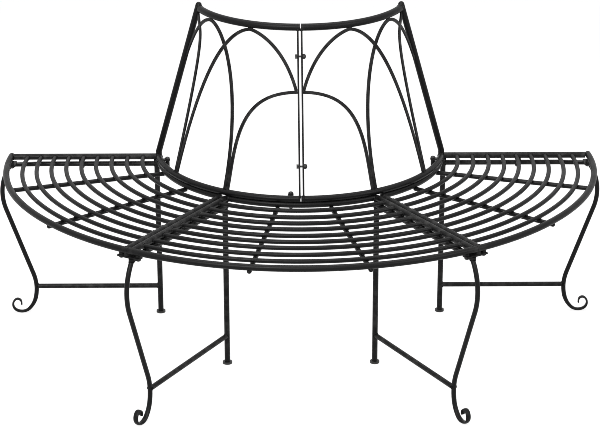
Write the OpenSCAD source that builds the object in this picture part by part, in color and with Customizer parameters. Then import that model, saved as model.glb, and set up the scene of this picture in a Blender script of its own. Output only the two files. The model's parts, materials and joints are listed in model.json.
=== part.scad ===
// Semicircular tree bench: three welded seat sectors on four leg frames, with a leaning arched back.
// X runs to the right, the bench's round front faces -Y and the tree stands at the middle of its arcs.

/* [Seat] */
// Outer diameter of the seat
seat_outer_d = 1600; // [1500:10:1700]
// Radius of the seat's inner rim, at its centre line
inner_rim_r = 375.5; // [340:0.5:400]
// Height of the seat frame's centre line above the ground
seat_z = 457.4; // [430:0.1:490]
// Outer diameter of the seat frame's tube
frame_d = 16; // [14:0.5:18]
// Wall of the round tubes
tube_wall = 1.5; // [1:0.1:2.5]
// Bend radius of a sector's inner corners
inner_bend_r = 10.5; // [9.5:0.5:16]
// Free gap between two neighbouring sectors
seam_gap = 0.6; // [0.5:0.1:1.2]
// How far the left middle seam turns from its back leg towards the end, degrees
seam_turn_left = 1.27; // [0.9:0.01:1.7]
// How far the right middle seam turns from its back leg towards the end, degrees
seam_turn_right = 1.63; // [0.9:0.01:1.7]
// How much tighter the outer rim of an end sector bends than the front sector's
end_pull = 13.5; // [0:0.5:20]
// How many times tighter that rim's last stretch bends, towards the bench's end
end_tighter = 1.15; // [1.05:0.01:1.2]

/* [Seat bars] */
// Diameter of the seat's rods
rod_d = 11; // [9:0.5:12]
// Number of rods in each sector
rod_count = 9; // [8:1:10]
// Diameter of the radial bars under the rods
support_d = 11.5; // [9:0.5:13]
// How far a radial bar runs on past the centre lines of both rims
support_overrun = 4; // [2:0.5:6]

/* [Leg frames] */
// Diameter of the back legs
back_leg_d = 14.3; // [12:0.1:16]
// Distance of the back legs outwards from the inner rim's centre line
back_leg_offset = 8.3; // [8:0.1:12]
// Diameter of the top tubes under the two ends
top_tube_d = 13; // [12:0.5:14]
// Depth of those top tubes' centre line below the seat frame's centre line
top_tube_drop = 23.3; // [22:0.1:26]
// Diameter of the top tubes under the two middle seams
middle_tube_d = 16; // [14:0.5:16]
// Depth of those top tubes' centre line below the seat frame's centre line
middle_tube_drop = 18.3; // [18:0.1:20]
// Diameter of the stretchers
stretcher_d = 12.7; // [10:0.1:14]
// Height of the stretchers above the ground
stretcher_z = 78.6; // [74:0.2:84]
// Diameter of the front legs
front_leg_d = 12; // [10:0.5:13]
// How far the front legs at the two ends bow out past the seat's rim
end_leg_bow = 2; // [-4:1:8]
// How far the two middle front legs bow out past the seat's rim
middle_leg_bow = 22.5; // [18:0.5:28]
// Inward slope of the front legs, degrees from upright
leg_lean = 18.9; // [18:0.1:20]
// Height of the front legs' widest point above the ground
bow_z = 350; // [344:1:358]
// Bend radius of the front legs' bow
bow_r = 140; // [132:2:156]
// Thickness of the flattened scroll where it meets the ground
scroll_t = 7; // [5:0.5:8]
// Thickness of the scroll's tip
tip_t = 4.5; // [3:0.5:5]
// Width of the flattened scroll
scroll_w = 14; // [12:0.5:16]
// Diameter of the foot caps
foot_d = 24.5; // [20:0.5:30]
// Thickness of the foot caps' disc
foot_h = 5; // [3:0.5:8]

/* [Back] */
// Height of the top rail's centre line above the ground
top_rail_z = 890.5; // [860:0.5:920]
// Radius of the top rail at its centre line
top_rail_r = 276; // [260:1:292]
// Diameter of the top rail
top_rail_d = 18; // [16:0.5:20]
// Direction of the end posts' feet around the tree, degrees
post_foot_angle = 188; // [186:0.5:190]
// Direction of the end posts' heads around the tree, degrees
post_head_angle = 200; // [198:0.5:202]
// Diameter of the end posts and of the bottom rails
post_d = 16; // [14:0.5:17]
// Width of the flat bars, along the back
bar_w = 8; // [6:0.5:9]
// Thickness of the flat bars, through the back
bar_t = 4; // [3:0.5:5]
// Thickness of the two centre bars
centre_bar_t = 4.4; // [3.5:0.1:5]
// Depth of the two centre bars
centre_bar_w = 15; // [12:0.5:15]
// Free gap between the two centre bars
centre_gap = 5.2; // [4:0.2:7]
// Turn of the flat bars' pattern round the tree towards the left, degrees
pattern_turn = 0.28; // [0:0.02:0.5]

/* [Fasteners] */
// Diameter of the bolts' shanks
bolt_d = 6; // [5:0.5:7]
// Diameter of the bolts' domed heads
head_d = 12.5; // [11:0.5:14]
// Height of the bolts' domed heads
head_h = 6; // [5:0.5:8]
// Thickness of the plates and lugs
plate_t = 4; // [3:0.5:5]
// Width of the plates and lugs
plate_w = 18; // [16:1:22]

/* [Hidden] */
weld_gap = 0.1;
// Solids that a cut shortens run on past it by this much
overrun = 3;
bolt_clearance = 0.1;
slice = 0.5;
// Weld beads stand this much proud of the tubes that they join
bead = 0.3;
bead_l = 1;

steel = [0.07, 0.07, 0.075];
zinc = [0.16, 0.16, 0.17];

// Leg frames and sectors, counted from the left end of the bench
sector_count = 3;
frame_angle = 180 / sector_count;
first_frame = 180;

// Seat frame
rim_r = (seat_outer_d - frame_d) / 2;
side_y = (frame_d + seam_gap) / 2;
seat_bottom_z = seat_z - frame_d / 2;

// Rods sit evenly between the two rims, each as far off that place as it is welded, in the front
// sector and at the far seams of the two end sectors
rod_pitch = (rim_r - inner_rim_r) / (rod_count + 1);
front_drift = [0.9, 5.4, 4.5, 2.9, 3.6, 1.6, -1.6, -0.5, -1.4];
end_drift = [5.6, 5.4, 5.4, 7, 5.2, 4.2, 2.4, 1.9, -0.3];
// How much tighter each rod bends in the two end sectors than in the front one
rod_pull = [-16, -17, -17, -12, -10, -9, -8, -3, 2];
rod_tighter = 1.28;
// Direction inside an end sector, from the bench's end, where its arcs begin to bend tighter
end_bend_angle = 28;

// Directions of the two radial bars inside each sector, from its end or left seam
support_angles = [[17.6, 38.2], [22.3, 43], [17.6, 38.3]];
support_z = seat_z - (rod_d + support_d) / 2 - weld_gap;

// Leg frames stand in the seams
back_leg_r = inner_rim_r + back_leg_offset;
flat_t = 7;
flat_w = 15;
flat_length = 24;
taper_length = 62;
end_margin = 1.5;
flat_sink = [1.5, 3.7, 3.7, 1.5];
// Sideways distances of the top tubes from their seams, and of the front legs' heads from their feet
tube_side = [0, 9, 10.3, 0];
head_side = [0, 7.3, 9.7, 0];

// Front leg's path: bow, straight shank, sweep and scroll, as radii and turns in degrees
sweep_r = 125;
sweep_end = -76;
scroll_r = [70, 30, 19, 10];
scroll_end = [-45, 25, 140, 265];
tip_length = 8;
lean_lift = 0.02;
ring_sides = 16;
step_angle = 7;

// Plates and bolts under the seat
nut_d = 12;
bolt_v = side_y + 16;
bolt_inset = 4;
plate_end = 6.3;
tab_top_z = seat_bottom_z - bead / 2 - weld_gap;
tab_l = 14;
tab_half = 15;
seam_bolt_r = (back_leg_r + rim_r) / 2 - 4;
stem_length = 22;
foot_play = 0.1;

// Back's cone, from the bottom rail to the top rail
rail_r = inner_rim_r + 2.2;
rail_z = seat_z + (frame_d + post_d) / 2 + 0.2;
knee_rise = 14;
head_rise = 8;
rail_gap = 2;
centre_lean = 4;

// Lugs and bolts that hold the back down on the seat
lug_angles = [195.6, 266, 344.4];
lug_r = inner_rim_r - frame_d / 2 - 5;
lug_top_z = rail_z + post_d / 2;
lug_bottom_z = seat_z - frame_d / 2 + 0.5;
sleeve_d = 11;
centre_bolt_z = [820, 553];
centre_bolt_d = 5;
centre_head_d = 13;
centre_nut_d = 11;
centre_head_h = 8;
centre_nut_h = 5;

// The origin lies on the ground under the middle of the bench's bounding box
plan_shift = (seat_outer_d / 2 - foot_d / 2) / 2;

arc_fn = 240;
round_fn = 32;

// Common shapes

module placed() translate([0, plan_shift, 0]) children();

module tube_section(d, wall = tube_wall) difference() {
    circle(d = d, $fn = round_fn);
    circle(d = d - 2 * wall, $fn = round_fn);
}

// Tube bent round the Z axis from one direction to another
module bent_tube(r, d, from, to, fn = arc_fn)
    rotate([0, 0, from]) rotate_extrude(angle = to - from, $fn = fn)
        translate([r, 0]) tube_section(d);

// Solid round bar bent round the Z axis from one direction to another
module bent_bar(r, d, from, to, fn = arc_fn)
    rotate([0, 0, from]) rotate_extrude(angle = to - from, $fn = fn)
        translate([r, 0]) circle(d = d, $fn = round_fn);

module tube(d, l, wall = tube_wall) linear_extrude(l) tube_section(d, wall);

module bar(d, l) cylinder(d = d, h = l, $fn = round_fn);

// Bolt head with a domed crown, standing on z = 0
module domed_head(d, h) intersection() {
    bar(d, h);
    translate([0, 0, h - d * 0.62]) sphere(r = d * 0.62, $fn = round_fn);
}

// Solid skin through a list of rings with the same number of points each
module skin(rings) {
    n = len(rings[0]);
    m = len(rings);
    polyhedron(
        points = [for (ring = rings) each ring],
        faces = concat(
            [[for (j = [n - 1:-1:0]) j]],
            [for (i = [0:m - 2], j = [0:n - 1]) [i * n + j, i * n + (j + 1) % n, (i + 1) * n + j]],
            [for (i = [0:m - 2], j = [0:n - 1])
                [i * n + (j + 1) % n, (i + 1) * n + (j + 1) % n, (i + 1) * n + j]],
            [[for (j = [0:n - 1]) (m - 1) * n + j]]));
}

// Seat sectors: the left one is drawn from the bench's end, the right one is its mirror image

function turn_of(k) = k == 1 ? seam_turn_left : k == 2 ? seam_turn_right : 0;
function span(k) = k == 1 ? frame_angle + turn_of(1) + turn_of(2) : frame_angle - turn_of(k == 0 ? 1 : 2);

module sector(k) translate([0, 0, seat_z]) mirror([k == 2 ? 1 : 0, 0, 0])
    rotate([0, 0, first_frame + (k == 1 ? span(0) : 0)]) children();

// One side line of a sector; the far one is the mirror image of the near one
module at_side(k, far) rotate([0, 0, far ? span(k) : 0]) mirror([0, far ? 1 : 0, 0]) children();

// Blocks that take away whatever runs on past a distance from a sector's two side lines
module beyond_sides(k, v) for (far = [false, true]) at_side(k, far)
    translate([0, v - rim_r, -frame_d]) cube([2 * rim_r, rim_r, 2 * frame_d]);

function pull_of(k) = k != 1 ? end_pull : 0;

// An end sector's arcs keep their direction at its far seam, so their centres shift along that seam
function pulled(k, pull, far = false) = pull * (far ? [1, 0] : [cos(span(k)), sin(span(k))]);

// Centre and radius of a sector's arc, or of its tighter stretch at the bench's end
function arc_centre(k, r, pull, tighter, at_end) = pulled(k, pull)
    + (k != 1 && at_end ? (r - pull) * (1 - 1 / tighter) * [cos(end_bend_angle), sin(end_bend_angle)] : [0, 0]);
function arc_radius(k, r, pull, tighter, at_end) = (r - pull) / (k != 1 && at_end ? tighter : 1);

// Bar along a sector's arc, hollow if it has a wall, running on past both side lines
module sector_arc(k, r, pull, tighter, d, wall = 0) {
    join = k == 1 ? -overrun : end_bend_angle;
    for (at_end = k == 1 ? [false] : [false, true]) {
        centre = arc_centre(k, r, pull, tighter, at_end);
        radius = arc_radius(k, r, pull, tighter, at_end);
        from = at_end ? -overrun - join * (tighter - 1) : join;
        to = at_end ? join + bead_l / radius * 180 / PI : span(k) + overrun;
        translate([centre[0], centre[1], 0])
            if (wall > 0) bent_tube(radius, d + (at_end ? bead : 0), from, to);
            else bent_bar(radius, d + (at_end ? bead : 0), from, to);
    }
}

function rim_centre(k, at_end) = arc_centre(k, rim_r, pull_of(k), end_tighter, at_end);
function rim_radius(k, at_end) = arc_radius(k, rim_r, pull_of(k), end_tighter, at_end);

// Outer rim of one sector, cut square in line with its side tubes; a plug closes the bench's free ends
end_plug = 2;
module seat_rim(k) {
    centre = rim_centre(k, true);
    r = rim_radius(k, true);
    placed() color(steel) sector(k) difference() {
        union() {
            sector_arc(k, rim_r, pull_of(k), end_tighter, frame_d, tube_wall);
            if (k != 1) translate([centre[0], centre[1], 0])
                bent_bar(r, frame_d + bead - tube_wall, -overrun - end_bend_angle * (end_tighter - 1),
                    asin((seam_gap / 2 + end_plug - centre[1]) / r));
        }
        beyond_sides(k, seam_gap / 2);
    }
}

// Place of an inner corner's bend centre, and the direction in which the inner rim meets that corner
corner_v = side_y + inner_bend_r;
corner_u = sqrt(pow(inner_rim_r + inner_bend_r, 2) - pow(corner_v, 2));
corner_angle = atan2(corner_v, corner_u);

// Inner rim of one sector with its two rounded corners
module inner_rim(k) placed() color(steel) sector(k) {
    overlap = bead_l / inner_bend_r * 180 / PI;
    bent_tube(inner_rim_r, frame_d, corner_angle, span(k) - corner_angle);
    for (far = [false, true]) at_side(k, far) translate([corner_u, corner_v, 0])
        bent_tube(inner_bend_r, frame_d + bead, 180 + corner_angle - overlap, 270, 64);
}

// Distance along a side line to the outer rim's inner face
function side_end(k, far) =
    let (centre = far ? pulled(k, pull_of(k), true) : rim_centre(k, true),
         reach = rim_radius(k, !far) - (frame_d + bead) / 2,
         off = max(abs(seam_gap / 2 - centre[1]), abs(seam_gap / 2 + frame_d - centre[1])))
    centre[0] + sqrt(pow(reach, 2) - pow(off, 2));

// Side tubes run from the inner corners to the outer rim's inner face
module side_tubes(k) placed() color(steel) sector(k) for (far = [false, true]) at_side(k, far)
    translate([corner_u + weld_gap, side_y, 0]) rotate([0, 90, 0])
        tube(frame_d, side_end(k, far) - corner_u - 2 * weld_gap);

function listed(list, i) = i < len(list) ? list[i] : 0;
function rod_radius(k, i) = inner_rim_r + (i + 1) * rod_pitch + listed(k == 1 ? front_drift : end_drift, i);

// Rods of one sector, cut square where they meet its two side tubes
rod_end_v = side_y + frame_d / 2 + weld_gap;
module seat_rods(k) placed() color(steel) sector(k) difference() {
    for (i = [0:rod_count - 1])
        sector_arc(k, rod_radius(k, i), k == 1 ? 0 : listed(rod_pull, i), rod_tighter, rod_d);
    beyond_sides(k, rod_end_v);
}

// Radial bars of one sector, under its rods and coped against its rims
module support_bars(k) {
    from = inner_rim_r - support_overrun;
    placed() color(steel) sector(k) difference() {
        for (a = support_angles[k]) rotate([0, 0, a]) translate([from, 0, support_z - seat_z])
            rotate([0, 90, 0]) round_ended_bar(support_d, rim_edge(k, a) + support_overrun - from);
        bent_bar(inner_rim_r, frame_d + 2 * weld_gap, 0, span(k));
        sector_arc(k, rim_r, pull_of(k), end_tighter, frame_d + 2 * weld_gap);
    }
}

// Distance from the tree to an outer rim's centre line in one direction
function rim_edge(k, a) =
    let (centre = rim_centre(k, a < end_bend_angle), r = rim_radius(k, a < end_bend_angle))
    centre * [cos(a), sin(a)] + sqrt(pow(r, 2) - pow(centre * [-sin(a), cos(a)], 2));

// Round bar along Z with domed ends
module round_ended_bar(d, l) rotate_extrude($fn = round_fn) intersection() {
    square([d, l]);
    union() {
        translate([0, d / 2]) square([d / 2, l - d]);
        translate([0, d / 2]) circle(d = d, $fn = round_fn);
        translate([0, l - d / 2]) circle(d = d, $fn = round_fn);
    }
}

// Leg frames, drawn in the XZ plane and turned to their direction

module leg_frame(k) rotate([0, 0, first_frame + k * frame_angle]) children();

// Seams lie over the leg frames, the middle ones turned a little towards the ends
function seam_angle(k) = first_frame + k * frame_angle + (k == 1 ? -1 : 1) * turn_of(k);
module seam(k) rotate([0, 0, seam_angle(k)]) children();

// Directions across a seam that hold a sector
function seam_sides(k) = k == 0 ? [1] : k == sector_count ? [-1] : [-1, 1];

function is_end(k) = k == 0 || k == sector_count;
function bow_x(k) = rim_r + frame_d / 2 + (is_end(k) ? end_leg_bow : middle_leg_bow);
function left_of(heading) = [-sin(heading), cos(heading)];

// End of an arc that starts at a point and heading; turn is positive to the left
function arc_end(point, heading, r, turn) =
    point + sign(turn) * r * (left_of(heading) - left_of(heading + turn));

// Round bar along an arc in the XZ plane
module upright_arc(point, heading, r, turn, d) {
    s = sign(turn);
    centre = point + s * r * left_of(heading);
    from = heading - s * 90;
    rotate([90, 0, 0]) translate([centre[0], centre[1], 0]) mirror([0, s < 0 ? 1 : 0, 0])
        rotate([0, 0, s * from]) rotate_extrude(angle = abs(turn), $fn = arc_fn)
            translate([r, 0]) circle(d = d, $fn = round_fn);
}

// Heights of a top tube's centre line, of its flat end, and of the front leg's head and the plate on it
function tube_d(k) = is_end(k) ? top_tube_d : middle_tube_d;
function tube_z(k) = seat_z - (is_end(k) ? top_tube_drop : middle_tube_drop);
function flat_z(k) = tube_z(k) - flat_sink[k];
function leg_head_z(k) = flat_z(k) - flat_t / 2 - weld_gap;
function plate_z(k) = flat_z(k) + flat_t / 2 + weld_gap;

// A middle top tube lies beside its seam, under the side tube of the front sector
function tube_v(k) = (k == 1 ? 1 : -1) * tube_side[k];

// A middle front leg leans sideways from its foot to that tube
function lean_of(k) = (k == 1 ? 1 : -1) * asin(head_side[k] / leg_head_z(k));
module leaned(k) translate([0, 0, lean_lift]) rotate([lean_of(k), 0, 0]) children();

// Front leg's stations, from its head down to the start of the scroll
function head_angle(k) = asin((leg_head_z(k) + front_leg_d / 3 - bow_z) / bow_r);
function bow_turn(k) = -(head_angle(k) + leg_lean);
shank_heading = -90 - leg_lean;
sweep_turn = sweep_end - shank_heading;

// Height that the sweep and the scroll's first arcs take between the shank and the ground
function drop_of(r, from, to) = r * (cos(to) - cos(from));
sweep_drop = drop_of(sweep_r, shank_heading, sweep_end)
    + drop_of(scroll_r[0], sweep_end, scroll_end[0]) + drop_of(scroll_r[1], scroll_end[0], 0);

function leg_head(k) = [bow_x(k) - bow_r, bow_z] + bow_r * [cos(head_angle(k)), sin(head_angle(k))];
function ankle_x(k) = shank_foot(k)[0] - sweep_r * (1 - cos(leg_lean));
function shank_top(k) = arc_end(leg_head(k), head_angle(k) - 90, bow_r, bow_turn(k));
function shank_length(k) = (shank_top(k)[1] - sweep_drop - scroll_t / 2) / cos(leg_lean);
function shank_foot(k) = shank_top(k) + shank_length(k) * [cos(shank_heading), sin(shank_heading)];
function sweep_foot(k) = arc_end(shank_foot(k), shank_heading, sweep_r, sweep_turn);

// Stations of the scroll as [point, heading], arc after arc
function arc_stations(point, heading, r, turn) =
    let (n = ceil(abs(turn) / step_angle))
    [for (i = [1:n]) [arc_end(point, heading, r, turn * i / n), heading + turn * i / n]];
function scroll_stations(point, heading, i = 0) =
    i >= len(scroll_r) ? [] :
    let (turn = scroll_end[i] - heading, arc = arc_stations(point, heading, scroll_r[i], turn))
    concat(arc, scroll_stations(arc[len(arc) - 1][0], scroll_end[i], i + 1));

// Oval ring of the scroll at one station
function oval(station, t, w) = [for (j = [0:ring_sides - 1])
    let (a = 360 * j / ring_sides,
         p = station[0] + left_of(station[1]) * cos(a) * t / 2)
    [p[0], sin(a) * w / 2, p[1]]];
function eased(from, to, f) = from + (to - from) * min(1, max(0, f));

// The bar is flat by the first share of the scroll's stations and has its tip's thickness by the second
flattened = 0.2;
thinned = 0.85;
module scroll(k) {
    start = sweep_foot(k);
    path = concat([[start, sweep_end]], scroll_stations(start, sweep_end));
    last = path[len(path) - 1];
    n = len(path);
    tip = [last[0] + tip_length * [cos(last[1]), sin(last[1])], last[1]];
    skin(concat(
        [for (i = [0:n - 1])
            let (f = i / n - flattened)
            oval(path[i], f < 0 ? eased(front_leg_d, scroll_t, 1 + f / flattened)
                                : eased(scroll_t, tip_t, f / (thinned - flattened)),
                eased(front_leg_d, scroll_w, 1 + f / flattened))],
        [oval(tip, tip_t * 0.8, scroll_w * 0.8)]));
}

// Bead where two stretches of a bar meet
module bead_ball(point, d) translate([point[0], 0, point[1]]) sphere(d = d + bead, $fn = round_fn);

module front_leg(k) {
    top = shank_top(k);
    placed() color(steel) leg_frame(k) difference() {
        leaned(k) {
            upright_arc(leg_head(k), head_angle(k) - 90, bow_r, bow_turn(k), front_leg_d);
            translate([top[0], 0, top[1]]) rotate([0, 90 - shank_heading, 0])
                bar(front_leg_d, shank_length(k));
            upright_arc(shank_foot(k), shank_heading, sweep_r, sweep_turn, front_leg_d);
            scroll(k);
            for (point = [top, shank_foot(k), sweep_foot(k)]) bead_ball(point, front_leg_d);
        }
        translate([0, -4 * front_leg_d, leg_head_z(k)]) cube([2 * rim_r, 8 * front_leg_d, 2 * front_leg_d]);
    }
}

module back_leg_solid(grow) translate([back_leg_r, 0, 0]) bar(back_leg_d + 2 * grow, seat_z);

// The end frames' back legs stop under the seat's tabs, the middle ones under their top tubes
function back_leg_top(k) = (is_end(k) ? tab_z(k) : tube_z(k) - tube_d(k) / 2) - weld_gap;
module back_leg(k) placed() color(steel) leg_frame(k) translate([back_leg_r, 0, foot_h + weld_gap])
    tube(back_leg_d, back_leg_top(k) - foot_h - weld_gap);

// Disc under a back leg with a stem that plugs into the leg's open end
module foot_cap() {
    bar(foot_d, foot_h);
    bar(back_leg_d - 2 * tube_wall - 2 * foot_play, foot_h + stem_length);
}

module foot_caps() placed() color(zinc) for (k = [0:sector_count]) leg_frame(k)
    translate([back_leg_r, 0, 0]) foot_cap();

function flat_end(k) = leg_head(k)[0] + front_leg_d / 2 + end_margin;

// Top tube: round from the back leg, then pressed flat over the front leg and under the seat's plate
module top_tube(k) {
    start = back_leg_r - (is_end(k) ? 0 : back_leg_d / 2);
    flat_start = flat_end(k) - flat_length;
    placed() color(steel) seam(k) difference() {
        translate([0, tube_v(k), tube_z(k)]) {
            translate([start, 0, 0]) rotate([0, 90, 0]) tube(tube_d(k), flat_start - taper_length - start);
            hull() {
                translate([flat_start - taper_length, 0, 0]) rotate([0, 90, 0]) bar(tube_d(k), slice);
                translate([flat_start, 0, flat_z(k) - tube_z(k)]) flat_block(slice);
            }
            translate([0, 0, flat_z(k) - tube_z(k)]) {
                translate([flat_start, 0, 0]) flat_block(flat_length - flat_w / 2);
                translate([flat_end(k) - flat_w / 2, 0, -flat_t / 2]) bar(flat_w, flat_t);
            }
        }
        if (is_end(k)) {
            back_leg_solid(weld_gap);
            translate([seam_bolt_r, 0, tube_z(k) - tube_d(k)]) bar(bolt_d + 2 * bolt_clearance, 2 * tube_d(k));
        }
    }
}

module flat_block(l) translate([0, -flat_w / 2, -flat_t / 2]) cube([l, flat_w, flat_t]);

module stretcher(k) placed() color(steel) leg_frame(k) difference() {
    translate([back_leg_r, 0, stretcher_z]) rotate([0, 90, 0])
        tube(stretcher_d, ankle_x(k) - front_leg_d / 3 - back_leg_r);
    back_leg_solid(weld_gap);
    leaned(k) upright_arc(shank_foot(k), shank_heading, sweep_r, sweep_turn, front_leg_d + 2 * weld_gap);
}

// Bolts stand under the outer rim, a little inwards of its centre line
function bolt_u(k) =
    let (sector = is_end(k) ? 0 : 1, centre = rim_centre(sector, true))
    centre[0] + sqrt(pow(rim_radius(sector, true), 2) - pow(bolt_v - centre[1], 2)) - bolt_inset;

// Plates across the seams, on the top tubes' flat ends, with a bolt up into each sector's weld nut
module bolt_plates() placed() color(steel) for (k = [0:sector_count]) seam(k) {
    sides = seam_sides(k);
    low = min(sides) < 0 ? -bolt_v - plate_end : -flat_w / 2;
    high = max(sides) > 0 ? bolt_v + plate_end : flat_w / 2;
    difference() {
        translate([bolt_u(k) - plate_w / 2, low, plate_z(k)]) cube([plate_w, high - low, plate_t]);
        at_plate_bolts(k) translate([0, 0, plate_z(k) - plate_t]) bar(bolt_d + 2 * bolt_clearance, 3 * plate_t);
    }
}

// Places of the bolts at one seam, drawn in that seam's own direction
module at_plate_bolts(k) for (s = seam_sides(k)) translate([bolt_u(k), s * bolt_v, 0]) children();

function weld_nut_z(k) = plate_z(k) + plate_t + weld_gap;
function weld_nut_h(k) = seat_bottom_z - weld_gap - weld_nut_z(k);

module weld_nuts() placed() color(steel) for (k = [0:sector_count]) seam(k) at_plate_bolts(k)
    translate([0, 0, weld_nut_z(k)]) difference() {
        bar(nut_d, weld_nut_h(k));
        translate([0, 0, -1]) bar(bolt_d + 2 * bolt_clearance, weld_nut_h(k) + 2);
    }

module plate_bolts() placed() color(zinc) for (k = [0:sector_count]) seam(k) at_plate_bolts(k) {
    translate([0, 0, plate_z(k) - weld_gap]) mirror([0, 0, 1]) domed_head(head_d, head_h);
    translate([0, 0, plate_z(k) - 1]) bar(bolt_d, plate_t + weld_nut_h(k));
}

// Tabs under the side tubes, over each back leg and over the middle of each top tube: thick ones at
// the ends, where bolts hold them, and thin ones on top of the middle top tubes
function tab_z(k) = is_end(k) ? tab_top_z - plate_t : tube_z(k) + tube_d(k) / 2 + weld_gap;

module seam_tabs() placed() color(steel) for (k = [0:sector_count]) seam(k) {
    low = min(seam_sides(k)) < 0 ? -tab_half : -back_leg_d / 2;
    high = max(seam_sides(k)) > 0 ? tab_half : back_leg_d / 2;
    for (u = [back_leg_r, seam_bolt_r]) difference() {
        translate([u - tab_l / 2, low, tab_z(k)]) cube([tab_l, high - low, tab_top_z - tab_z(k)]);
        if (is_end(k) && u == seam_bolt_r)
            translate([u, 0, tab_z(k) - plate_t]) bar(bolt_d + 2 * bolt_clearance, 3 * plate_t);
    }
}

module seam_bolts() placed() color(zinc) for (k = [0, sector_count]) seam(k) translate([seam_bolt_r, 0, 0]) {
    low = tube_z(k) - tube_d(k) / 2 - weld_gap;
    translate([0, 0, low]) mirror([0, 0, 1]) domed_head(head_d, head_h);
    translate([0, 0, low - 1]) bar(bolt_d, tab_top_z - low + 1);
}

// Back panels, drawn for the left side and mirrored for the right

module panel(right) mirror([right ? 1 : 0, 0, 0]) children();

function on_circle(r, a, z) = [r * cos(a), r * sin(a), z];
post_foot = on_circle(rail_r, post_foot_angle, rail_z);
post_head = on_circle(top_rail_r, post_head_angle, top_rail_z + head_rise);
post_run = [post_head[0] - post_foot[0], post_head[1] - post_foot[1]];
post_azimuth = atan2(post_run[1], post_run[0]);
knee_z = rail_z + knee_rise;
post_lean = atan2(norm(post_run), post_head[2] - knee_z);
post_length = norm([norm(post_run), post_head[2] - knee_z]);

// Post: short upright foot and a straight leaning shank with a domed head
module post_solid(grow = 0) {
    d = post_d + 2 * grow;
    translate([post_foot[0], post_foot[1], 0]) rotate([0, 0, post_azimuth]) {
        translate([0, 0, seat_z]) bar(d, knee_z - seat_z);
        translate([0, 0, knee_z]) sphere(d = d + bead, $fn = round_fn);
        translate([0, 0, knee_z]) rotate([0, post_lean, 0]) domed_bar(d, post_length + d / 2);
    }
}

// Round bar along Z whose far end is a dome
module domed_bar(d, l) rotate_extrude($fn = round_fn) {
    square([d / 2, l - d / 2]);
    intersection() {
        translate([0, l - d / 2]) circle(d = d, $fn = round_fn);
        translate([0, l - d / 2]) square([d, d]);
    }
}

module end_post(right) placed() color(steel) panel(right) difference() {
    post_solid();
    inner_ring_solid();
}

// Whole rings to cope what meets the inner rim and the rails
module inner_ring_solid() translate([0, 0, seat_z])
    bent_bar(inner_rim_r, frame_d + 2 * weld_gap, 180, 360);
module rails_solid() {
    translate([0, 0, rail_z])
        bent_bar(rail_r, post_d + 2 * weld_gap, post_foot_angle, 540 - post_foot_angle);
    translate([0, 0, top_rail_z])
        bent_bar(top_rail_r, top_rail_d + 2 * weld_gap, post_head_angle, 540 - post_head_angle);
}

// Direction of the centre line's free edge at a radius
function centre_end(r) = 270 - asin(rail_gap / 2 / r);

module bottom_rail(right) placed() color(steel) panel(right) difference() {
    translate([0, 0, rail_z]) bent_tube(rail_r, post_d, post_foot_angle, centre_end(rail_r));
    post_solid(weld_gap);
}

module top_rail(right) placed() color(steel) panel(right) difference() {
    translate([0, 0, top_rail_z]) bent_tube(top_rail_r, top_rail_d, post_head_angle, centre_end(top_rail_r));
    post_solid(weld_gap);
}

// Centre bars stand side by side and lean a little to the left together
back_slope = atan2(rail_r - top_rail_r, top_rail_z - rail_z);
back_length = norm([rail_r - top_rail_r, top_rail_z - rail_z]);
centre_tilt = atan2(centre_lean, back_length);

module centre_frame() translate([centre_lean / 2, -rail_r, rail_z]) rotate([-back_slope, 0, 0])
    rotate([0, -centre_tilt, 0]) children();

// Height along the centre bars at a height above the ground
function along_back(z) = (z - rail_z) / cos(back_slope);

module centre_bar_solid(right) {
    x = right ? centre_gap / 2 : -centre_gap / 2 - centre_bar_t;
    centre_frame() translate([x, -centre_bar_w / 2, 0])
        cube([centre_bar_t, centre_bar_w, back_length]);
}

module centre_bar(right) placed() color(steel) difference() {
    centre_bar_solid(right);
    rails_solid();
    at_centre_bolts() translate([0, 0, -centre_gap * 4]) bar(centre_bolt_d + 2 * bolt_clearance, centre_gap * 8);
}

// Block that takes away whatever runs on past a centre bar's outer face
module beyond_centre_bar(right) {
    l = rail_r;
    x = centre_gap / 2 + centre_bar_t + weld_gap;
    centre_frame() translate([right ? x - l : -x, -l / 2, -l / 4]) cube([l, l, 2 * l]);
}

// Bolts lie across the two centre bars, with their Z axis pointing right
module at_centre_bolts() for (z = centre_bolt_z) centre_frame()
    translate([0, 0, along_back(z)]) rotate([0, 90, 0]) children();

bar_face = centre_gap / 2 + centre_bar_t + weld_gap;

module centre_bolts() placed() color(zinc) at_centre_bolts() {
    translate([0, 0, bar_face]) domed_head(centre_head_d, centre_head_h);
    translate([0, 0, -bar_face - centre_nut_h]) bar(centre_bolt_d, 2 * bar_face + centre_nut_h + 1);
}

module centre_nuts() placed() color(zinc) at_centre_bolts() difference() {
    translate([0, 0, -bar_face - centre_nut_h]) cylinder(d = centre_nut_d, h = centre_nut_h, $fn = 6);
    translate([0, 0, -bar_face - 2 * centre_nut_h])
        bar(centre_bolt_d + 2 * bolt_clearance, 3 * centre_nut_h);
}

// Flat bars of the back's pattern lie on the cone between the rails

function cone_radius(z) = rail_r + (top_rail_r - rail_r) * (z - rail_z) / (top_rail_z - rail_z);
function on_cone(p) = on_circle(cone_radius(p[1]), p[0], p[1]);
function unit(v) = v / norm(v);
function cone_normal(p) =
    [cos(back_slope) * cos(p[0]), cos(back_slope) * sin(p[0]), sin(back_slope)];

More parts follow.
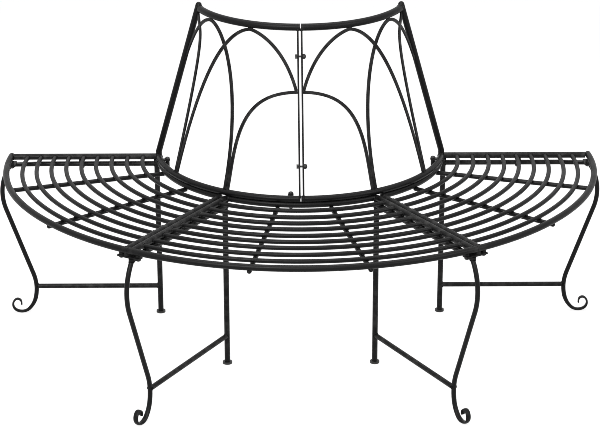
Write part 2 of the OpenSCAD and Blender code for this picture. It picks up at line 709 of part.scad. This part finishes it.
// Curve from a crown to a foot; shape holds its two inner control points as shares of width and height
function curve_point(crown, foot, shape, t) =
    let (size = foot - crown,
         p1 = crown + [shape[0] * size[0], shape[1] * size[1]],
         p2 = crown + [shape[2] * size[0], shape[3] * size[1]])
    pow(1 - t, 3) * crown + 3 * pow(1 - t, 2) * t * p1 + 3 * (1 - t) * t * t * p2 + pow(t, 3) * foot;
function curve(crown, foot, shape, to = 1, from = 0, n = 26) =
    [for (i = [0:n]) curve_point(crown, foot, shape, from + (to - from) * i / n)];
function reversed(list) = [for (i = [len(list) - 1:-1:0]) list[i]];
function without_first(list) = [for (i = [1:len(list) - 1]) list[i]];

// Flat bar along a list of [direction, height] points on the cone
module flat_bar(path, grow = 0) {
    n = len(path);
    w = bar_w / 2 + grow;
    t = bar_t / 2 + grow;
    skin([for (i = [0:n - 1])
        let (p = on_cone(path[i]),
             along = unit(on_cone(path[min(i + 1, n - 1)]) - on_cone(path[max(i - 1, 0)])),
             out = cone_normal(path[i]),
             across = cross(along, out))
        [p + w * across + t * out, p - w * across + t * out,
         p - w * across - t * out, p + w * across - t * out]]);
}

// Crowns, feet and shapes of the four curves, as directions round the tree and heights
crown_z = top_rail_z - (top_rail_d + bar_w) / 2 + 0.3;
foot_z = rail_z + post_d / 2;
wide_crown = [243.8, crown_z];
wide_foot = [212.3, foot_z];
// Depths of the wide arch's end and of the centre half arch's crown below the wide arch's crown
wide_drop = 145;
centre_drop = 144;
wide_end = [268.5, crown_z - wide_drop];
narrow_crown = [216.4, crown_z];
narrow_foot = [239.5, foot_z];
end_crown = [post_head_angle + 0.5, top_rail_z - 7];
end_foot = [211, foot_z];
centre_crown = [270, crown_z - centre_drop];
centre_foot = [240.78, foot_z];
wide_left_shape = [0.04, 0, 0.865, 0.01];
wide_right_shape = [0.03, 0, 0.74, 0.09];
narrow_shape = [0.12, 0, 1.186, 0.065];
narrow_end_shape = [0.26, 0, 1.106, 0.07];
end_shape = [0.92, 0.145, 1.24, 0.023];
centre_shape = [1.044, 0, 0.951, 0.618];
narrow_reach = 0.66;

// Last point of a curve with the stub that stands on the bottom rail
function footed(path) = concat(path, [[path[len(path) - 1][0], rail_z]]);

wide_path = concat(reversed(footed(curve(wide_crown, wide_foot, wide_left_shape))),
    without_first(curve(wide_crown, wide_end, wide_right_shape)));
narrow_mirror = [2 * narrow_crown[0] - narrow_foot[0], narrow_foot[1]];
narrow_path = concat(reversed(footed(curve(narrow_crown, narrow_foot, narrow_shape))),
    without_first(curve(narrow_crown, narrow_mirror, narrow_end_shape, narrow_reach)));
end_path = footed(curve(end_crown, end_foot, end_shape));
function centre_path(from = 0) =
    footed(curve(centre_crown, centre_foot, centre_shape, from = from));

// Share of the centre half arch's curve that its centre bar's outer face cuts off
function outer_face_x(right) =
    (right ? 1 : -1) * (centre_lean / 2 - along_back(centre_crown[1]) * sin(centre_tilt))
    + centre_gap / 2 + centre_bar_t;
function cut_off(right) =
    (asin((outer_face_x(right) + 2 * weld_gap) / cone_radius(centre_crown[1]))
        + (right ? 1 : -1) * pattern_turn)
    / (3 * centre_shape[0] * (centre_crown[0] - centre_foot[0]));

// Flat bar of the left or right panel
module arch(right, path, grow = 0)
    rotate([0, 0, -pattern_turn]) panel(right) flat_bar(path, grow);

module wide_arch(right) placed() color(steel) difference() {
    arch(right, wide_path);
    rails_solid();
    arch(right, narrow_path, weld_gap);
    arch(right, centre_path(), weld_gap);
    beyond_centre_bar(right);
}

module narrow_arch(right) placed() color(steel) difference() {
    arch(right, narrow_path);
    rails_solid();
    panel(right) post_solid(weld_gap);
}

module end_half_arch(right) placed() color(steel) difference() {
    arch(right, end_path);
    rails_solid();
    panel(right) post_solid(weld_gap);
    arch(right, narrow_path, weld_gap);
}

module centre_half_arch(right) placed() color(steel) difference() {
    arch(right, centre_path(cut_off(right)));
    rails_solid();
}

// Lugs, sleeves and bolts behind the rails: one by each end post and one left of the centre

module at_lugs() for (a = lug_angles) rotate([0, 0, a]) translate([lug_r, 0, 0]) children();

// Lug that reaches from its bolt out to the rail above or the rim below
module lug(z, reach) translate([0, 0, z]) {
    difference() {
        union() {
            bar(plate_w - 4, plate_t);
            translate([0, -plate_w / 2 + 2, 0]) cube([reach, plate_w - 4, plate_t]);
        }
        translate([0, 0, -plate_t]) bar(bolt_d + 2 * bolt_clearance, 3 * plate_t);
    }
}

module rail_lugs() placed() color(steel) difference() {
    at_lugs() lug(lug_top_z - plate_t, rail_r - lug_r);
    rails_solid();
}

module rim_lugs() placed() color(steel) difference() {
    at_lugs() lug(lug_bottom_z, inner_rim_r - lug_r);
    inner_ring_solid();
}

module lug_sleeves() placed() color(steel) difference() {
    at_lugs() translate([0, 0, lug_bottom_z + plate_t + weld_gap])
        bar(sleeve_d, lug_top_z - lug_bottom_z - 2 * plate_t - 2 * weld_gap);
    at_lugs() bar(bolt_d + 2 * bolt_clearance, lug_top_z);
    rails_solid();
    inner_ring_solid();
}

lug_nut_h = 6;
lug_nut_z = lug_bottom_z - weld_gap - lug_nut_h;

module lug_bolts() placed() color(zinc) at_lugs() {
    translate([0, 0, lug_top_z + weld_gap]) domed_head(head_d, head_h);
    translate([0, 0, lug_nut_z - 2]) bar(bolt_d, lug_top_z - lug_nut_z + 3);
}

module lug_nuts() placed() color(zinc) at_lugs() difference() {
    translate([0, 0, lug_nut_z]) cylinder(d = nut_d, h = lug_nut_h, $fn = 6);
    bar(bolt_d + 2 * bolt_clearance, seat_z);
}

seat_rim(0);  // seat_rim_left
seat_rim(1);  // seat_rim_front
seat_rim(2);  // seat_rim_right
inner_rim(0);  // inner_rim_left
inner_rim(1);  // inner_rim_front
inner_rim(2);  // inner_rim_right
side_tubes(0);  // side_tubes_left
side_tubes(1);  // side_tubes_front
side_tubes(2);  // side_tubes_right
seat_rods(0);  // seat_rods_left
seat_rods(1);  // seat_rods_front
seat_rods(2);  // seat_rods_right
support_bars(0);  // support_bars_left
support_bars(1);  // support_bars_front
support_bars(2);  // support_bars_right
front_leg(0);  // front_leg_left_end
front_leg(1);  // front_leg_left
front_leg(2);  // front_leg_right
front_leg(3);  // front_leg_right_end
back_leg(0);  // back_leg_left_end
back_leg(1);  // back_leg_left
back_leg(2);  // back_leg_right
back_leg(3);  // back_leg_right_end
top_tube(0);  // top_tube_left_end
top_tube(1);  // top_tube_left
top_tube(2);  // top_tube_right
top_tube(3);  // top_tube_right_end
stretcher(0);  // stretcher_left_end
stretcher(1);  // stretcher_left
stretcher(2);  // stretcher_right
stretcher(3);  // stretcher_right_end
foot_caps();
bolt_plates();
weld_nuts();
plate_bolts();
seam_tabs();
seam_bolts();
bottom_rail(false);  // bottom_rail_left
bottom_rail(true);  // bottom_rail_right
top_rail(false);  // top_rail_left
top_rail(true);  // top_rail_right
end_post(false);  // end_post_left
end_post(true);  // end_post_right
centre_bar(false);  // centre_bar_left
centre_bar(true);  // centre_bar_right
wide_arch(false);  // wide_arch_left
wide_arch(true);  // wide_arch_right
narrow_arch(false);  // narrow_arch_left
narrow_arch(true);  // narrow_arch_right
end_half_arch(false);  // end_half_arch_left
end_half_arch(true);  // end_half_arch_right
centre_half_arch(false);  // centre_half_arch_left
centre_half_arch(true);  // centre_half_arch_right
centre_bolts();
centre_nuts();
rail_lugs();
rim_lugs();
lug_sleeves();
lug_bolts();
lug_nuts();
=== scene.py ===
import json
import math
import random

import bpy
from mathutils import Matrix, Vector
from mathutils.bvhtree import BVHTree


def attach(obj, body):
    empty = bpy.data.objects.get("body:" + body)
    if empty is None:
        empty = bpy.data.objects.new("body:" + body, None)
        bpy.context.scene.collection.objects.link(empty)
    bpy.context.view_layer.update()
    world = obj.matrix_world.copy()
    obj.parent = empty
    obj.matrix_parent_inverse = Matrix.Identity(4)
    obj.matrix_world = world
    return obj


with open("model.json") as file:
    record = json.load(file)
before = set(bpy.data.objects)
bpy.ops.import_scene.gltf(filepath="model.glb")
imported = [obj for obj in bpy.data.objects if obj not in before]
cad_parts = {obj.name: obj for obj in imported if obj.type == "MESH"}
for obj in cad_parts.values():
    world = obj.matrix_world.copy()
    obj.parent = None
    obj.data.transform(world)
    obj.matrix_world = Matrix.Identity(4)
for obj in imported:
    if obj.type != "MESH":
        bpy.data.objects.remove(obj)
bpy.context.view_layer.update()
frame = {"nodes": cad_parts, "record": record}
random.seed(7)

# Sizes and places that the pieces below share with the solids, in metres and degrees.
# Directions and distances are taken from the tree's centre.
SHIFT = 0.393875
TREE = Vector((0, SHIFT, 0))
UP = Vector((0, 0, 1))
WELD_GAP = 0.0001

# Seat
SECTORS = ("left", "front", "right")
SEAM_LEFT, SEAM_RIGHT = 238.73, 301.63
SEAM_ANGLES = (180, SEAM_LEFT, SEAM_RIGHT, 360)
SEAT_Z = 0.4574
FRAME_D = 0.016
ROD_D = 0.011
SIDE_Y = 0.0083

# Leg frames: name, direction, direction of the seam above, and how far aside of the back leg
# the leaning front leg meets the stretcher
LEG_FRAMES = (("left_end", 180, 180, 0), ("left", 240, SEAM_LEFT, -0.0013),
              ("right", 300, SEAM_RIGHT, 0.0018), ("right_end", 360, 360, 0))
BACK_LEG_R, BACK_LEG_D = 0.3838, 0.0143
BACK_LEG_HEAD_Z = 0.437
FRONT_LEG_D = 0.012
STRETCHER_Z, STRETCHER_D = 0.0786, 0.0127
END_TOP_Z, END_TOP_D = 0.4341, 0.013
MIDDLE_TOP_Z, MIDDLE_TOP_D = 0.4391, 0.016

# Back: each rail's radius, height and diameter, the posts, and where the flat bars meet the
# rails, given for the left panel
RAIL_R, RAIL_Z, RAIL_D = 0.3777, 0.4736, 0.016
TOP_R, TOP_Z, TOP_D = 0.276, 0.8905, 0.018
POST_D = 0.016
POST_FOOT, POST_HEAD = 188, 200
ARCH_FEET = (212.3, 211.0, 239.5, 240.78)
ARCH_CROWNS = (243.8, 216.4)
PATTERN_TURN = 0.28
CENTRE_BAR_X, CENTRE_LEAN = 0.0048, 0.002

# Weld beads: half the width and depth of their loops round the flat bars' ends, how far they
# stand proud of the rails, and their own radii
ARCH_LOOP, CENTRE_LOOP = (0.0044, 0.0024), (0.0026, 0.0071)
RAIL_PROUD = 0.0002
BEAD = {"rod": 0.0013, "tube": 0.0014, "leg_head": 0.0013, "bar_foot": 0.0011,
        "crown": 0.0012, "post_foot": 0.0015, "rail_end": 0.0013}

# The photograph's camera: focal length and width in pixels, place from the tree, and turns in radians
FOCAL_PX, PHOTO_PX = 2072.2, 600
CAMERA_PLACE = Vector((-0.0306, -5.2351, 2.3116))
PAN, TILT, ROLL = -0.0058, -0.369, -0.0017
SENSOR_MM = 36


# Materials

class Tree:
    """A node tree, with a short call for each kind of node that the looks need."""

    def __init__(self, owner):
        owner.use_nodes = True
        self.nodes, self.links = owner.node_tree.nodes, owner.node_tree.links
        self.nodes.clear()

    def feed(self, socket, value):
        """Links a socket to another node's output, or sets it to a number or a colour."""
        if isinstance(value, bpy.types.NodeSocket):
            self.links.new(value, socket)
        elif isinstance(value, tuple):
            socket.default_value = (*value, 1)
        else:
            socket.default_value = value

    def add(self, kind, inputs=None):
        node = self.nodes.new("ShaderNode" + kind)
        for key, value in (inputs or {}).items():
            self.feed(node.inputs[key], value)
        return node

    def place(self):
        return self.add("TexCoord").outputs["Object"]

    def geometry(self, output):
        return self.add("NewGeometry").outputs[output]

    def upward(self, vector):
        return self.add("SeparateXYZ", {"Vector": vector}).outputs["Z"]

    def noise(self, scale, detail=2, rough=0.5):
        return self.add("TexNoise", {"Vector": self.place(), "Scale": scale, "Detail": detail,
                                     "Roughness": rough}).outputs["Fac"]

    def span(self, value, low, high, to_low, to_high):
        """Carries low..high over to to_low..to_high, and holds it at both ends."""
        return self.add("MapRange", {"Value": value, "From Min": low, "From Max": high,
                                     "To Min": to_low, "To Max": to_high}).outputs["Result"]

    def mix(self, factor, a, b):
        node = self.add("Mix")
        node.data_type = "RGBA"
        for key, value in (("Factor", factor), ("A", a), ("B", b)):
            self.feed(node.inputs[key], value)
        return node.outputs["Result"]

    def maths(self, operation, a, b):
        node = self.add("Math")
        node.operation = operation
        for socket, value in zip(node.inputs, (a, b)):
            self.feed(socket, value)
        return node.outputs["Value"]

    def bumps(self, layers):
        """Chains bumps of (height, strength, distance) into one normal."""
        normal = None
        for height, strength, distance in layers:
            inputs = {"Height": height, "Strength": strength, "Distance": distance}
            if normal:
                inputs["Normal"] = normal
            normal = self.add("Bump", inputs).outputs["Normal"]
        return normal

    def shown(self):
        """1 for the camera, reflections and transmission, 0 for the light that falls on things."""
        path = self.add("LightPath").outputs
        mirrored = self.maths("MAXIMUM", path["Is Glossy Ray"], path["Is Transmission Ray"])
        return self.maths("MAXIMUM", path["Is Camera Ray"], mirrored)


def material(name, build):
    """A material whose Principled shader gets the inputs that build works out."""
    mat = bpy.data.materials.new(name)
    tree = Tree(mat)
    shader = tree.add("BsdfPrincipled", build(tree))
    tree.add("OutputMaterial", {"Surface": shader.outputs["BSDF"]})
    return mat


def powder_coat(tree):
    """Satin black powder coat: orange peel, cloudy sheen, thin on sharp edges, a little dust on top."""
    specks = tree.noise(2300, 1, 0.4)
    base = tree.mix(tree.noise(9, 4, 0.6), (0.003, 0.003, 0.0032), (0.0058, 0.0058, 0.006))
    base = tree.mix(tree.span(specks, 0.62, 0.75, 0, 0.5), base, (0.014, 0.014, 0.0145))
    edges = tree.span(tree.geometry("Pointiness"), 0.53, 0.62, 0, 1)
    patches = tree.span(tree.noise(60, 3), 0.45, 0.7, 0, 0.8)
    base = tree.mix(tree.maths("MULTIPLY", edges, patches), base, (0.035, 0.0345, 0.034))
    top = tree.span(tree.upward(tree.geometry("Normal")), 0.55, 1, 0, 1)
    dust = tree.maths("MULTIPLY", top, tree.span(tree.noise(38, 5, 0.7), 0.42, 0.75, 0, 0.16))
    sheen = tree.span(tree.noise(24, 4, 0.55), 0.3, 0.7, 0.36, 0.47)
    return {"Base Color": tree.mix(dust, base, (0.05, 0.049, 0.047)),
            "Roughness": tree.maths("ADD", sheen, tree.maths("MULTIPLY", dust, 0.5)),
            "Specular IOR Level": 0.14,
            "Normal": tree.bumps([(tree.noise(750, 2, 0.45), 0.22, 0.0006), (specks, 0.12, 0.0002)])}


def fastener_black(tree):
    """Blackened steel of the bolts and nuts: glossier than the coat, with bright worn edges."""
    base = tree.mix(tree.noise(160, 4, 0.6), (0.007, 0.007, 0.0073), (0.014, 0.014, 0.0145))
    edges = tree.span(tree.geometry("Pointiness"), 0.55, 0.66, 0, 1)
    patches = tree.span(tree.noise(300, 2), 0.45, 0.65, 0, 0.8)
    return {"Base Color": tree.mix(tree.maths("MULTIPLY", edges, patches), base, (0.14, 0.138, 0.134)),
            "Roughness": tree.span(tree.noise(420, 3), 0.3, 0.7, 0.26, 0.4),
            "Specular IOR Level": 0.35,
            "Normal": tree.bumps([(tree.noise(1400, 2), 0.2, 0.0003)])}


def foot_plastic(tree):
    """Moulded black plastic of the foot caps: spark-eroded grain, scuffed and dusty low down."""
    grain = tree.noise(1900, 3, 0.7)
    low = tree.span(tree.upward(tree.place()), 0, 0.005, 1, 0)
    scuffs = tree.maths("MULTIPLY", low, tree.span(tree.noise(240, 4), 0.4, 0.7, 0, 0.7))
    base = tree.mix(grain, (0.012, 0.012, 0.012), (0.02, 0.02, 0.02))
    return {"Base Color": tree.mix(scuffs, base, (0.06, 0.058, 0.054)),
            "Roughness": tree.span(grain, 0.3, 0.7, 0.5, 0.66),
            "Normal": tree.bumps([(grain, 0.35, 0.0003)])}


LOOKS = {"frame": material("powder_coat", powder_coat),
         "fastener": material("fastener_black", fastener_black),
         "foot_cap": material("foot_plastic", foot_plastic)}
for part in frame["record"]["subparts"]:
    materials = frame["nodes"][part["node"]].data.materials
    materials.clear()
    materials.append(LOOKS[part["material_slot"]])


# Shapes of the weld beads

def ring_mesh(rings, closed):
    """Vertices and faces of a small tube through rings of points."""
    verts = [point for ring in rings for point in ring]
    count, sides = len(rings), len(rings[0])
    faces = []
    for i in range(count if closed else count - 1):
        here, there = i * sides, (i + 1) % count * sides
        for j in range(sides):
            k = (j + 1) % sides
            faces.append((here + j, here + k, there + k, there + j))
    if not closed:
        faces.append(tuple(range(sides - 1, -1, -1)))
        faces.append(tuple((count - 1) * sides + j for j in range(sides)))
    return verts, faces


def circle(centre, side, other, radius, sides):
    """Points round a centre, in the plane of two unit vectors."""
    return [centre + (side * math.cos(a) + other * math.sin(a)) * radius
            for a in (2 * math.pi * j / sides for j in range(sides))]


def bead(points, radius, closed=True):
    """A weld bead along points, with the ripples of its passes."""
    rings = []
    last = len(points) - 1
    for i, point in enumerate(points):
        before = points[i - 1] if closed or i else point
        after = points[(i + 1) % len(points)] if closed or i < last else point
        along = (after - before).normalized()
        side = along.orthogonal().normalized()
        r = radius * (1 + 0.13 * math.sin(i * 2.1) + random.uniform(-0.08, 0.08))
        if not closed and i in (0, last):
            r *= 0.45
        rings.append(circle(point, side, along.cross(side), r, 7))
    return ring_mesh(rings, closed)


def saddle(centre, run, big, out, small, steps):
    """Where a branch tube (direction out, radius small) meets a tube (axis run, radius big)."""
    out = (out - run * out.dot(run)).normalized()
    side = out.cross(run)
    points = []
    for i in range(steps):
        a = 2 * math.pi * i / steps
        reach = math.sqrt(max(big ** 2 - (small * math.sin(a)) ** 2, 0))
        points.append(centre + run * small * math.cos(a) + side * small * math.sin(a) + out * reach)
    return points


def joint(centre, run, big_d, out, small_d, radius, proud=0.0003, spread=0.0005, steps=20):
    """The bead round a branch tube. It stands proud of the main tube and spreads past the branch."""
    return bead(saddle(centre, run, big_d / 2 + proud, out, small_d / 2 + spread, steps), radius)


def collar(start, end, radius):
    """A short round sleeve that closes the notch between a square-cut tube and what it meets."""
    along = (end - start).normalized()
    side = along.orthogonal().normalized()
    return ring_mesh([circle(p, side, along.cross(side), radius, 32) for p in (start, end)], False)


def tack(centre, along, across, length=0.0085, width=0.0034, height=0.003):
    """A short tack weld, thickest in its middle."""
    up = along.cross(across)
    rings = []
    for t in (-1, -0.5, 0, 0.5, 1):
        r = math.sqrt(max(1 - t * t, 0.04)) * (1 + random.uniform(-0.1, 0.1)) / 2
        rings.append(circle(centre + along * t * length / 2, across * width, up * height, r, 8))
    return ring_mesh(rings, False)


def piece(name, parts):
    """One object of many small meshes, coated like the bench and riding with it."""
    verts, faces = [], []
    for part_verts, part_faces in parts:
        start = len(verts)
        verts.extend(part_verts)
        faces.extend(tuple(start + i for i in face) for face in part_faces)
    mesh = bpy.data.meshes.new(name)
    mesh.from_pydata([tuple(v) for v in verts], [], faces)
    for polygon in mesh.polygons:
        polygon.use_smooth = True
    mesh.update()
    obj = bpy.data.objects.new(name, mesh)
    bpy.context.collection.objects.link(obj)
    mesh.materials.append(LOOKS["frame"])
    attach(obj, "root")


# Places on the bench

def ray_dir(degrees):
    """The level unit vector in a direction, 0 along X and 90 along Y."""
    return Vector((math.cos(math.radians(degrees)), math.sin(math.radians(degrees)), 0))


def at(radius, degrees, height):
    """A point by its distance and direction from the tree."""
    return TREE + ray_dir(degrees) * radius + UP * height


def mean(points):
    return sum(points, Vector()) / len(points)


def islands(name):
    """The vertices of each separate solid of a CAD node."""
    mesh = frame["nodes"][name].data
    parent = list(range(len(mesh.vertices)))

    def root(i):
        while parent[i] != i:
            parent[i] = parent[parent[i]]
            i = parent[i]
        return i

    place = {}
    for i, v in enumerate(mesh.vertices):
        key = tuple(round(c, 6) for c in v.co)
        parent[root(i)] = root(place.setdefault(key, i))
    for edge in mesh.edges:
        a, b = edge.vertices
        parent[root(a)] = root(b)
    groups = {}
    for i, v in enumerate(mesh.vertices):
        groups.setdefault(root(i), []).append(v.co.copy())
    return sorted(groups.values(), key=lambda group: tuple(min(group, key=lambda v: v.y)))


def crossings(name, origin, run):
    """Middles of the bars of a CAD node that a line passes through."""
    mesh = frame["nodes"][name].data
    solid = BVHTree.FromPolygons([v.co.copy() for v in mesh.vertices],
                                 [list(p.vertices) for p in mesh.polygons])
    past = 1e-5
    hits = []
    spot = origin
    while True:
        hit = solid.ray_cast(spot, run)[0]
        if hit is None:
            return [(a + b) / 2 for a, b in zip(hits[::2], hits[1::2])]
        hits.append(hit)
        spot = hit + run * past


# Welds of the seat

def support_bar_tacks(sector):
    """Two tacks under each rod, one on either side of each support bar."""
    aside = 0.0036
    height = SEAT_Z - ROD_D / 2 + 0.0006
    tacks = []
    for bar in islands("support_bars_" + sector):
        near = min(bar, key=lambda p: (p - TREE).xy.length)
        far = max(bar, key=lambda p: (p - TREE).xy.length)
        across = (far - near).xy.normalized().to_3d()
        for spot in crossings("seat_rods_" + sector, TREE + UP * SEAT_Z, across):
            spot.z = height
            for side in (-1, 1):
                tacks.append(tack(spot + across * side * aside, UP.cross(across), across))
    return tacks


def rod_end_beads(sector):
    """A bead round each rod's two ends, on the side tubes."""
    to_axis = FRAME_D / 2 + WELD_GAP
    tolerance = 0.0001
    beads = []
    for rod in islands("seat_rods_" + sector):
        for angle in SEAM_ANGLES:
            run = ray_dir(angle)
            for inward in (ray_dir(angle + 90), ray_dir(angle - 90)):
                tip = [p for p in rod if (p - TREE).dot(run) > 0
                       and abs((p - TREE).dot(inward) - SIDE_Y - to_axis) < tolerance]
                if len(tip) > 8:
                    beads.append(joint(mean(tip) - inward * to_axis, run, FRAME_D, inward, ROD_D,
                                       BEAD["rod"], proud=0.0004))
    return beads


def side_tube_corners(sector):
    """A collar and a bead where each side tube meets the outer rim."""
    notch = 0.0085
    parts = []
    for tube in islands("side_tubes_" + sector):
        middle = mean(tube) - TREE
        run = min((ray_dir(a) for a in SEAM_ANGLES), key=lambda d: abs(middle.cross(d).z))
        end = max((p - TREE).dot(run) for p in tube)
        aside = middle - run * middle.dot(run)
        aside.z = 0
        start = TREE + run * end + aside + UP * SEAT_Z
        parts.append(collar(start - run * 0.0002, start + run * notch, FRAME_D / 2))
        parts.append(joint(start + run * (notch - 0.0003), run.cross(UP), FRAME_D, -run, FRAME_D,
                           BEAD["tube"], spread=0))
    return parts


tacks, ends, corners = [], [], []
for sector in SECTORS:
    tacks += support_bar_tacks(sector)
    ends += rod_end_beads(sector)
    corners += side_tube_corners(sector)
piece("rod_end_welds", ends)
piece("support_bar_welds", tacks)
piece("corner_welds", corners)


# Welds of the leg frames

def leg_frame_beads(name, angle, seam, aside):
    """Beads at a frame's four joints, with a collar where a middle back leg ends under its tube."""
    out = ray_dir(angle)
    bead_r = BEAD["tube"]
    parts = [joint(at(BACK_LEG_R, angle, STRETCHER_Z), UP, BACK_LEG_D, out, STRETCHER_D, bead_r)]
    if name.endswith("_end"):
        parts.append(joint(at(BACK_LEG_R, angle, END_TOP_Z), UP, BACK_LEG_D, out, END_TOP_D, bead_r))
    else:
        parts.append(collar(at(BACK_LEG_R, angle, BACK_LEG_HEAD_Z - 0.0065),
                            at(BACK_LEG_R, angle, BACK_LEG_HEAD_Z), BACK_LEG_D / 2 - 0.00005))
        parts.append(joint(at(BACK_LEG_R, angle, MIDDLE_TOP_Z), ray_dir(seam), MIDDLE_TOP_D, -UP,
                           BACK_LEG_D, bead_r, proud=0.0002, spread=0.00025))
    stretcher = frame["nodes"]["stretcher_" + name].data.vertices
    coped = 0.0052
    front_leg_r = max((v.co - TREE).dot(out) for v in stretcher) + coped
    spot = at(front_leg_r, angle, STRETCHER_Z) + ray_dir(angle + 90) * aside
    parts.append(joint(spot, UP, FRONT_LEG_D, -out, STRETCHER_D, bead_r, proud=0.0002, spread=0.00045))
    leg = frame["nodes"]["front_leg_" + name].data.vertices
    top = max(v.co.z for v in leg)
    head = mean([v.co for v in leg if v.co.z > top - 0.00001])
    ring = [head + ray_dir(a) * (FRONT_LEG_D / 2 + 0.0006) for a in range(0, 360, 15)]
    parts.append(bead(ring, BEAD["leg_head"]))
    return parts


piece("leg_welds", [part for leg_frame in LEG_FRAMES for part in leg_frame_beads(*leg_frame)])


# Welds of the back

def both_sides(angle, turn=PATTERN_TURN):
    """A direction on the left panel and its mirror image on the right one."""
    return angle - turn, 540 - angle - turn


def foot_loop(degrees, loop, radius, height, tube_r, sign=1):
    """Where a flat bar stands on a rail, or hangs under one with sign -1."""
    tangent, out = ray_dir(degrees + 90), ray_dir(degrees)
    base = at(radius, degrees, height)
    points = []
    for across, deep in ((1, -1), (1, 0), (1, 1), (0.4, 1), (-0.4, 1),
                         (-1, 1), (-1, 0), (-1, -1), (-0.4, -1), (0.4, -1)):
        u, v = across * loop[0], deep * loop[1]
        points.append(base + tangent * u + out * v + UP * sign * math.sqrt(max(tube_r ** 2 - v ** 2, 0)))
    return points


def arch_beads():
    """Beads round the arches' feet on the bottom rail, and behind and before their crowns."""
    crown_z = TOP_Z - TOP_D / 2 - 0.0001
    crown_half_depth = 0.0026
    beads = []
    for angle in ARCH_FEET:
        for a in both_sides(angle):
            loop = foot_loop(a, ARCH_LOOP, RAIL_R, RAIL_Z, RAIL_D / 2 + RAIL_PROUD)
            beads.append(bead(loop, BEAD["bar_foot"]))
    for angle in ARCH_CROWNS:
        for a in both_sides(angle):
            for r in (TOP_R - crown_half_depth, TOP_R + crown_half_depth):
                points = [at(r, a + step, crown_z) for step in (-1.5, -0.75, 0, 0.75, 1.5)]
                beads.append(bead(points, BEAD["crown"], closed=False))
    return beads


def centre_bar_beads():
    """Beads at the feet and heads of the two bars in the middle, which lean to the left."""
    beads = []
    for side in (-1, 1):
        for radius, height, rail_d, sign in ((RAIL_R, RAIL_Z, RAIL_D, 1), (TOP_R, TOP_Z, TOP_D, -1)):
            angle = 270 + math.degrees((side * CENTRE_BAR_X + sign * CENTRE_LEAN) / radius)
            loop = foot_loop(angle, CENTRE_LOOP, radius, height, rail_d / 2 + RAIL_PROUD, sign)
            beads.append(bead(loop, BEAD["bar_foot"]))
    return beads


def post_beads():
    """Beads round the posts' feet on the inner rims, and round the rails' ends at the posts."""
    beads = [joint(at(RAIL_R, a, SEAT_Z), ray_dir(a + 90), FRAME_D, UP, POST_D, BEAD["post_foot"],
                   spread=0.0003, steps=24) for a in both_sides(POST_FOOT, 0)]
    for post, radius, height, rail_d in ((POST_FOOT, RAIL_R, RAIL_Z + RAIL_PROUD, RAIL_D),
                                         (POST_HEAD, TOP_R, TOP_Z, TOP_D)):
        step = math.degrees((POST_D / 2 + 0.0005) / radius)
        left, right = both_sides(post, 0)
        for a in (left + step, right - step):
            ring = circle(at(radius, a, height), ray_dir(a), UP, rail_d / 2 + RAIL_PROUD, 22)
            beads.append(bead(ring, BEAD["rail_end"]))
    return beads


piece("back_welds", arch_beads() + centre_bar_beads() + post_beads())


# Floor, backdrop and light

def studio_floor(half=9):
    """A floor that looks white far and wide, and still takes the bench's shadow."""
    mesh = bpy.data.meshes.new("floor")
    mesh.from_pydata([(-half, -half, 0), (half, -half, 0), (half, half, 0), (-half, half, 0)],
                     [], [(0, 1, 2, 3)])
    floor = bpy.data.objects.new("floor", mesh)
    bpy.context.collection.objects.link(floor)
    mat = bpy.data.materials.new("studio_white")
    tree = Tree(mat)
    paint = tree.add("BsdfDiffuse", {"Color": (0.3, 0.3, 0.3)})
    distance = tree.add("VectorMath", {0: tree.place()})
    distance.operation = "LENGTH"
    strength = tree.span(distance.outputs["Value"], 3.5, 8, 0.8, 1)
    glow = tree.add("Emission", {"Strength": tree.maths("MULTIPLY", tree.shown(), strength)})
    both = tree.add("AddShader", {0: paint.outputs["BSDF"], 1: glow.outputs["Emission"]})
    tree.add("OutputMaterial", {"Surface": both.outputs["Shader"]})
    mesh.materials.append(mat)


def studio_world():
    """White to look at, and a soft pale light on the bench from all sides."""
    world = bpy.data.worlds.new("studio")
    bpy.context.scene.world = world
    tree = Tree(world)
    sky = tree.add("Background", {"Color": (1, 1, 1), "Strength": tree.span(tree.shown(), 0, 1, 0.32, 1)})
    tree.add("OutputWorld", {"Surface": sky.outputs["Background"]})


def lamp(name, place, target, width, height, power):
    """A soft rectangular lamp that points at a target; sizes in metres, power in watts."""
    data = bpy.data.lights.new(name, "AREA")
    data.shape = "RECTANGLE"
    data.size, data.size_y, data.energy = width, height, power
    obj = bpy.data.objects.new(name, data)
    bpy.context.collection.objects.link(obj)
    obj.location = place
    obj.rotation_euler = (Vector(target) - Vector(place)).to_track_quat("-Z", "Y").to_euler()


def photo_camera():
    """The camera at the photograph's place."""
    data = bpy.data.cameras.new("camera")
    data.sensor_width = SENSOR_MM
    data.lens = FOCAL_PX / PHOTO_PX * SENSOR_MM
    camera = bpy.data.objects.new("camera", data)
    bpy.context.collection.objects.link(camera)
    camera.matrix_world = (Matrix.Translation(TREE + CAMERA_PLACE)
                           @ Matrix.Rotation(PAN, 4, "Z")
                           @ Matrix.Rotation(math.pi / 2 + TILT, 4, "X")
                           @ Matrix.Rotation(ROLL, 4, "Z"))
    bpy.context.scene.camera = camera


studio_floor()
studio_world()
lamp("key", (-1.3, -3.7, 3.4), (0, 0.1, 0.6), 2.4, 1.8, 175)
lamp("fill", (3.2, -2.4, 2.6), (0, 0, 0.5), 2.2, 2.2, 60)
lamp("top", (0, 0.6, 4.2), (0, 0.1, 0.4), 3.2, 2.2, 90)
photo_camera()
bpy.context.scene.view_settings.view_transform = "Standard"
# Edges as crisp as in the photograph
bpy.context.scene.cycles.filter_width = 0.8
